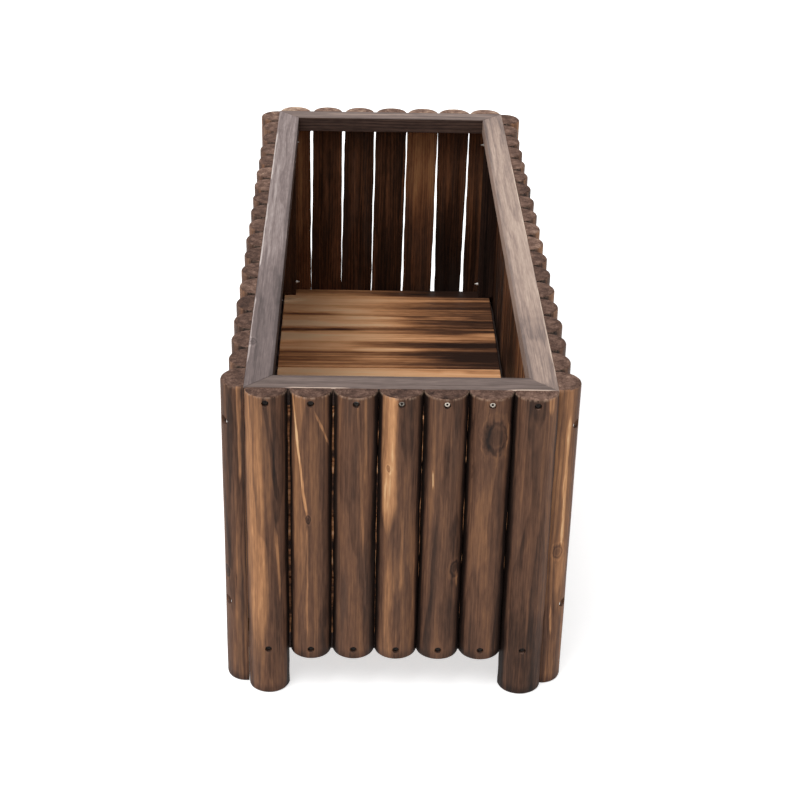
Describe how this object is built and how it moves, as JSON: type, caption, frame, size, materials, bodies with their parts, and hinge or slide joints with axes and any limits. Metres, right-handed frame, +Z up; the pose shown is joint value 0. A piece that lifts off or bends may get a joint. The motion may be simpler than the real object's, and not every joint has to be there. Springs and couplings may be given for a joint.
{
  "type": "wooden planter box",
  "caption": "Long open-topped planter of half-round wooden slats nailed upright round two mitred frames, with a boarded floor and longer corner slats as legs.",
  "frame": {"origin": "on the ground, below the middle of the box", "axes": "+X across the box to the right of the end that faces the viewer, +Y along the box away from that end, +Z up"},
  "size_m": [0.324, 0.796, 0.32],
  "materials": {
    "slat_wood": "flame-charred and brushed, satin",
    "rail_wood": "lightly charred, satin",
    "post_wood": "charred, satin",
    "floor_wood": "charred in streaks, satin",
    "steel": "bright zinc"
  },
  "bodies": {
    "root": {"back_left_end_leg": "slat_wood", "back_left_post": "post_wood", "back_left_side_leg": "slat_wood", "back_right_end_leg": "slat_wood", "back_right_post": "post_wood", "back_right_side_leg": "slat_wood", "back_slat_01": "slat_wood", "back_slat_02": "slat_wood", "back_slat_03": "slat_wood", "back_slat_04": "slat_wood", "back_slat_05": "slat_wood", "corner_screws": "steel", "floor_board_1": "floor_wood", "floor_board_2": "floor_wood", "floor_board_3": "floor_wood", "floor_board_4": "floor_wood", "floor_board_5": "floor_wood", "floor_board_6": "floor_wood", "floor_board_7": "floor_wood", "floor_nails": "steel", "front_left_end_leg": "slat_wood", "front_left_post": "post_wood", "front_left_side_leg": "slat_wood", "front_right_end_leg": "slat_wood", "front_right_post": "post_wood", "front_right_side_leg": "slat_wood", "front_slat_01": "slat_wood", "front_slat_02": "slat_wood", "front_slat_03": "slat_wood", "front_slat_04": "slat_wood", "front_slat_05": "slat_wood", "left_slat_01_02": "slat_wood", "left_slat_03_04": "slat_wood", "left_slat_05_06": "slat_wood", "left_slat_07_08": "slat_wood", "left_slat_09_10": "slat_wood", "left_slat_11_12": "slat_wood", "left_slat_13_14": "slat_wood", "left_slat_15_16": "slat_wood", "left_slat_17": "slat_wood", "lower_back_rail": "rail_wood", "lower_front_rail": "rail_wood", "lower_left_rail": "rail_wood", "lower_right_rail": "rail_wood", "lower_slat_nails": "steel", "right_slat_01_02": "slat_wood", "right_slat_03_04": "slat_wood", "right_slat_05_06": "slat_wood", "right_slat_07_08": "slat_wood", "right_slat_09_10": "slat_wood", "right_slat_11_12": "slat_wood", "right_slat_13_14": "slat_wood", "right_slat_15_16": "slat_wood", "right_slat_17": "slat_wood", "rim_back_rail": "rail_wood", "rim_front_rail": "rail_wood", "rim_left_rail": "rail_wood", "rim_right_rail": "rail_wood", "upper_slat_nails": "steel"}
  },
  "joints": []
}
